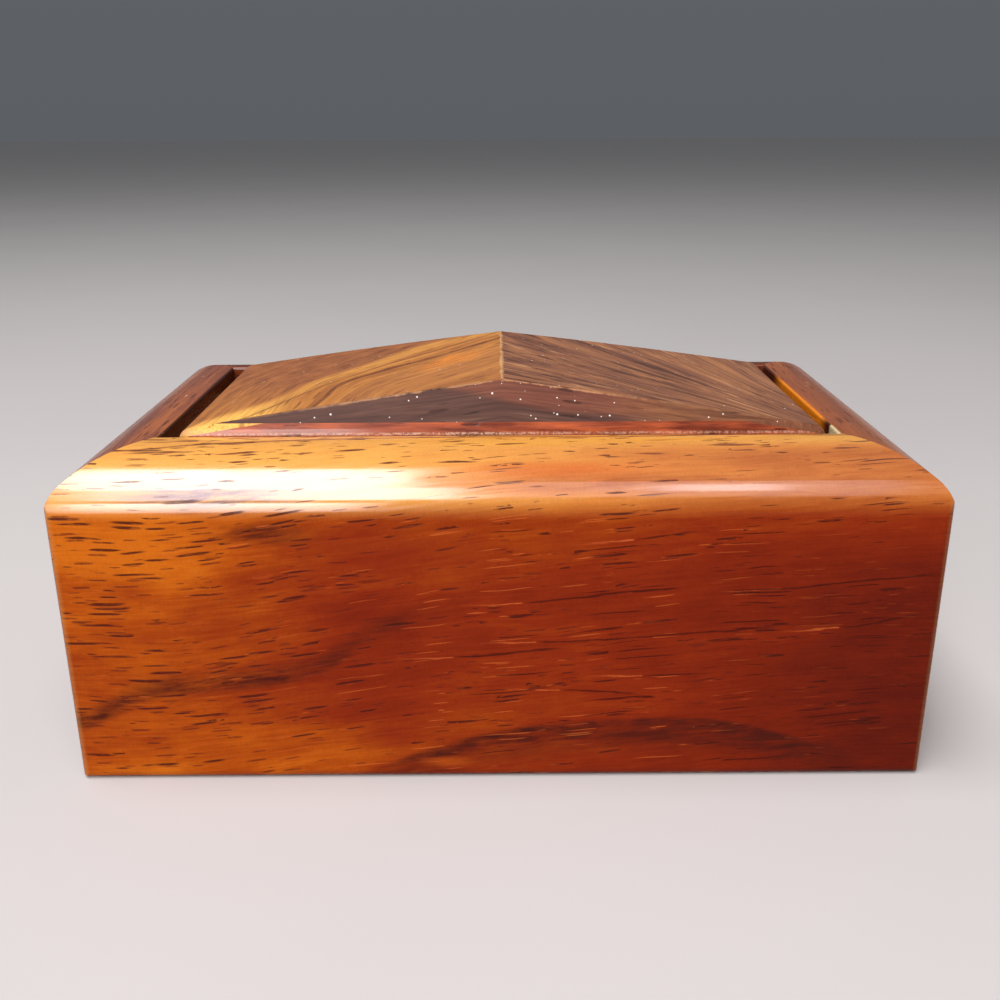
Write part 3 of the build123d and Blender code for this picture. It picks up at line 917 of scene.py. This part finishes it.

# %% [markdown]
# ## Left roof panel
#
# Golden tan wood whose grain runs slantwise, from the front corner up to the back of the ridge. A yellow stripe of
# sapwood follows it, with a dark brown line underneath. The lines are drawn over slanting fibres. Its colour is a
# function, because the gable facing shows a strip of the same wood along its top.

# %% The left figure
def left_figure(tree):
    """The left panel's colour and its fibres and pores."""
    space = board_space(tree, turn=-45.0)
    slant = axes_of(tree, wandering(tree, space, 34.0, 1.2, 41.0))
    stripe = drawn_line(
        tree, slant[0], [(-44, 13.1), (-31, 12.4), (-21, 15.7), (-13, 15.4), (-3, 16.7), (5, 15.7), (11, 11.5)]
    )
    line = drawn_line(
        tree, slant[0], [(-46, -6), (-34, 2.2), (-27, 7.2), (-21, 10.5), (-15, 10.3), (-6, 9.0), (5, 8.0), (14, 7.4)]
    )
    thread = drawn_line(tree, slant[0], [(-43, 9.1), (-32, 10.7), (-23, 12.5), (-12, 13.2), (4, 12.0)])
    over_line = minus(tree, slant[1], line)
    over_stripe = minus(tree, slant[1], stripe)
    follow = vector_of(tree, slant[0], over_line, slant[2])
    level, fine = two_streaks(tree, follow, (40.0, 2.4, 43.0), (16.0, 0.5, 42.0), 0.6)
    mottle = streaks(tree, follow, 4.0, 2.0, 46.0)
    colour = ramp(tree, level, (0.0, 118, 66, 32), (0.35, 154, 94, 44), (0.65, 182, 118, 54), (1.0, 206, 142, 68))
    mottled = plus(tree, times(tree, mottle, 0.6), times(tree, fine, 0.4))
    pinkish = ramp(tree, mottled, (0.1, 108, 60, 34), (0.9, 166, 102, 58))
    behind = times(tree, spread(tree, over_stripe, 0.5, 3.5), spread(tree, slant[0], -38.0, -20.0, 0.3, 1.0))
    colour = blend(tree, behind, colour, pinkish)
    below = spread(tree, over_line, -7.0, -1.0, 1.0, 0.0)
    colour = stain(tree, colour, (150, 96, 58), below, 0.35)
    orange = oval_patch(tree, slant[0], slant[1], (-6.0, 4.0), (9.0, 4.0))
    colour = stain(tree, colour, (226, 130, 40), orange, spread(tree, fine, 0.3, 0.8, 0.2, 0.8))
    sapwood = ink(tree, over_stripe, 3.0, 3.0)
    sapwood = times(tree, sapwood, spread(tree, slant[0], -42.0, -24.0, 1.0, 0.5))
    colour = stain(tree, colour, (214, 154, 72), sapwood, spread(tree, fine, 0.0, 1.0, 0.5, 1.0))
    corner = oval_patch(tree, slant[0], slant[1], (-41.0, 10.5), (12.0, 6.5))
    colour = stain(tree, colour, (236, 180, 84), corner, spread(tree, fine, 0.1, 0.8, 0.4, 0.9))
    dark = times(tree, ink(tree, over_line, 1.1, 0.9), spread(tree, mottle, 0.0, 0.7, 0.45, 0.95))
    dark = larger(tree, dark, times(tree, ink(tree, minus(tree, slant[1], thread), 0.5, 0.5), 0.6))
    colour = stain(tree, colour, (88, 44, 26), dark)
    dashes = marks(tree, follow, 4.6, 0.6, 0.3, 44.0)
    return stain(tree, colour, (92, 48, 26), dashes, 0.6), fine, dashes


print("left figure ready")

# %% [markdown]
# The panel takes that figure and adds worn lines and dust.

# %% Left panel wood
left_panel_wood, tree, shader = start_wood("left_panel_wood")
colour, fine, dashes = left_figure(tree)
colour = wear_roof(tree, colour, roof_edges(tree), (206, 164, 110), 0.16)
relief = minus(tree, times(tree, fine, 0.3), dashes)
finish_wood(tree, shader, colour, spread(tree, fine, 0.0, 1.0, 0.24, 0.42), relief, FINE_RELIEF, coat=0.1, shine=0.1)
paint(["lid_left_panel"], left_panel_wood)

# %% [markdown]
# ## Right roof panel
#
# The match of the left panel, but cut through darker growth: thin dark and tan lines on purple-brown, which run
# from the back of the ridge and draw together towards the front right corner. They would meet at one point beyond
# the corner: across the grain, the distance from that point is divided by the room that is left before it.

# %% The right figure
MEETING_ALONG, MEETING_ACROSS = 56.0, 14.0  # mm, the point where the lines would meet
FULL_WIDTH_AT = 34.0  # mm before that point, where the lines have their own width
LEAST_ROOM = 6.0  # mm


def right_figure(tree):
    """The right panel's colour and its fibres and pores."""
    space = board_space(tree, turn=45.0)
    slant = axes_of(tree, wandering(tree, space, 30.0, 1.4, 51.0))
    room = larger(tree, minus(tree, MEETING_ALONG, slant[0]), LEAST_ROOM)
    fan = maths(tree, "DIVIDE", times(tree, minus(tree, slant[1], MEETING_ACROSS), FULL_WIDTH_AT), room)
    follow = vector_of(tree, slant[0], fan, slant[2])
    level, fine = two_streaks(tree, follow, (90.0, 2.0, 53.0), (26.0, 0.55, 52.0), 0.6)
    smooth_corner = oval_patch(tree, slant[0], slant[1], (16.0, 30.0), (22.0, 12.0))
    level = maths(tree, "ADD", level, times(tree, smooth_corner, 0.10), clamp=True)
    colour = ramp(tree, level, (0.0, 70, 40, 30), (0.35, 114, 72, 52), (0.6, 140, 90, 60), (1.0, 178, 122, 74))
    growth = streaks(tree, follow, 120.0, 1.5, 56.0)
    clear = spread(tree, smooth_corner, 0.0, 0.8, 0.7, 0.25)
    colour = stain(tree, colour, (52, 28, 22), spread(tree, growth, 0.2, 0.42, 1.0, 0.0), clear)
    colour = stain(tree, colour, (196, 142, 94), spread(tree, growth, 0.68, 0.85), 0.5)
    dashes = marks(tree, follow, 5.0, 0.6, 0.2, 54.0)
    return stain(tree, colour, (56, 30, 22), dashes, 0.6), fine, dashes


print("right figure ready")

# %% [markdown]
# Along the crease this panel also shows a strip of end grain.

# %% Right panel wood
right_panel_wood, tree, shader = start_wood("right_panel_wood")
colour, fine, dashes = right_figure(tree)
edges = roof_edges(tree)
end_grain = spread(tree, edges[2], 0.05, 0.25, 1.0, 0.0)
colour = stain(tree, colour, (98, 58, 40), end_grain, 0.75)
colour = wear_roof(tree, colour, edges, (200, 150, 100), 0.22)
relief = minus(tree, times(tree, fine, 0.3), dashes)
finish_wood(tree, shader, colour, spread(tree, fine, 0.0, 1.0, 0.24, 0.42), relief, FINE_RELIEF, coat=0.1, shine=0.1)
paint(["lid_right_panel"], right_panel_wood)

# %% [markdown]
# ## Gable facings
#
# The low triangle at each end of the roof is dusty and dark: grey-brown at the left and along its foot, where a grey
# reflection is painted over the dark wood, red-brown in the middle, tan with fine stripes to the right. Its streaks
# run along the hips. The top of the facing lies in the slope of the roof and carries the panels' figure right up to
# the crease.

# %% Gable wood
STREAK_FALL = 0.13  # mm, how far the streaks fall for each millimetre away from the ridge

gable_wood, tree, shader = start_wood("gable_wood")
axes, from_ridge, from_gable = edges = roof_edges(tree)
slope = times(tree, maths(tree, "ABSOLUTE", from_ridge), STREAK_FALL)
rise = plus(tree, axes[2], slope)
leaned = vector_of(tree, axes[0], axes[1], rise)
grain = wandering(tree, leaned, 26.0, 0.4, 31.0)
level, fine = two_streaks(tree, grain, (40.0, 1.2, 34.0), (16.0, 0.35, 32.0), 0.55)
colour = ramp(tree, level, (0.0, 74, 42, 34), (0.4, 98, 58, 46), (0.7, 114, 70, 52), (1.0, 138, 88, 60))
stripes = ramp(tree, level, (0.1, 64, 38, 30), (0.5, 112, 72, 50), (0.9, 150, 102, 66))
colour = blend(tree, spread(tree, axes[0], 12.0, 24.0), colour, stripes)
# Painted reflection: a grey sheen over the dark wood at the left and along the foot, below a drawn line.
sheen_top = drawn_line(
    tree, axes[0], [(-38, 52), (-10.5, 51.2), (-2.3, 50.0), (5.5, 48.2), (17.0, 47.3), (26.0, 46.6)]
)
shade = spread(tree, minus(tree, axes[2], sheen_top), -0.7, 0.5, 1.0, 0.0)
shade = times(tree, shade, spread(tree, axes[0], 14.0, 27.0, 0.9, 0.0))
sheen_greys = ramp(tree, level, (0.1, 54, 38, 34), (0.6, 80, 56, 48), (1.0, 106, 78, 64))
colour = blend(tree, shade, colour, sheen_greys)
dashes = marks(tree, grain, 4.4, 0.6, 0.25, 35.0)
colour = stain(tree, colour, (44, 26, 22), dashes, 0.6)
left_top, _, _ = left_figure(tree)
right_top, _, _ = right_figure(tree)
top = blend(tree, spread(tree, from_ridge, -0.1, 0.1), left_top, right_top)
colour = blend(tree, spread(tree, from_gable, 0.08, 0.2), colour, top)
colour = wear_roof(tree, colour, edges, (198, 146, 100), 0.75)
rough = spread(tree, fine, 0.0, 1.0, 0.22, 0.4)
relief = minus(tree, times(tree, fine, 0.3), dashes)
finish_wood(tree, shader, colour, rough, relief, FINE_RELIEF, coat=0.04, shine=0.06)
paint(["lid_front_gable", "lid_back_gable"], gable_wood)
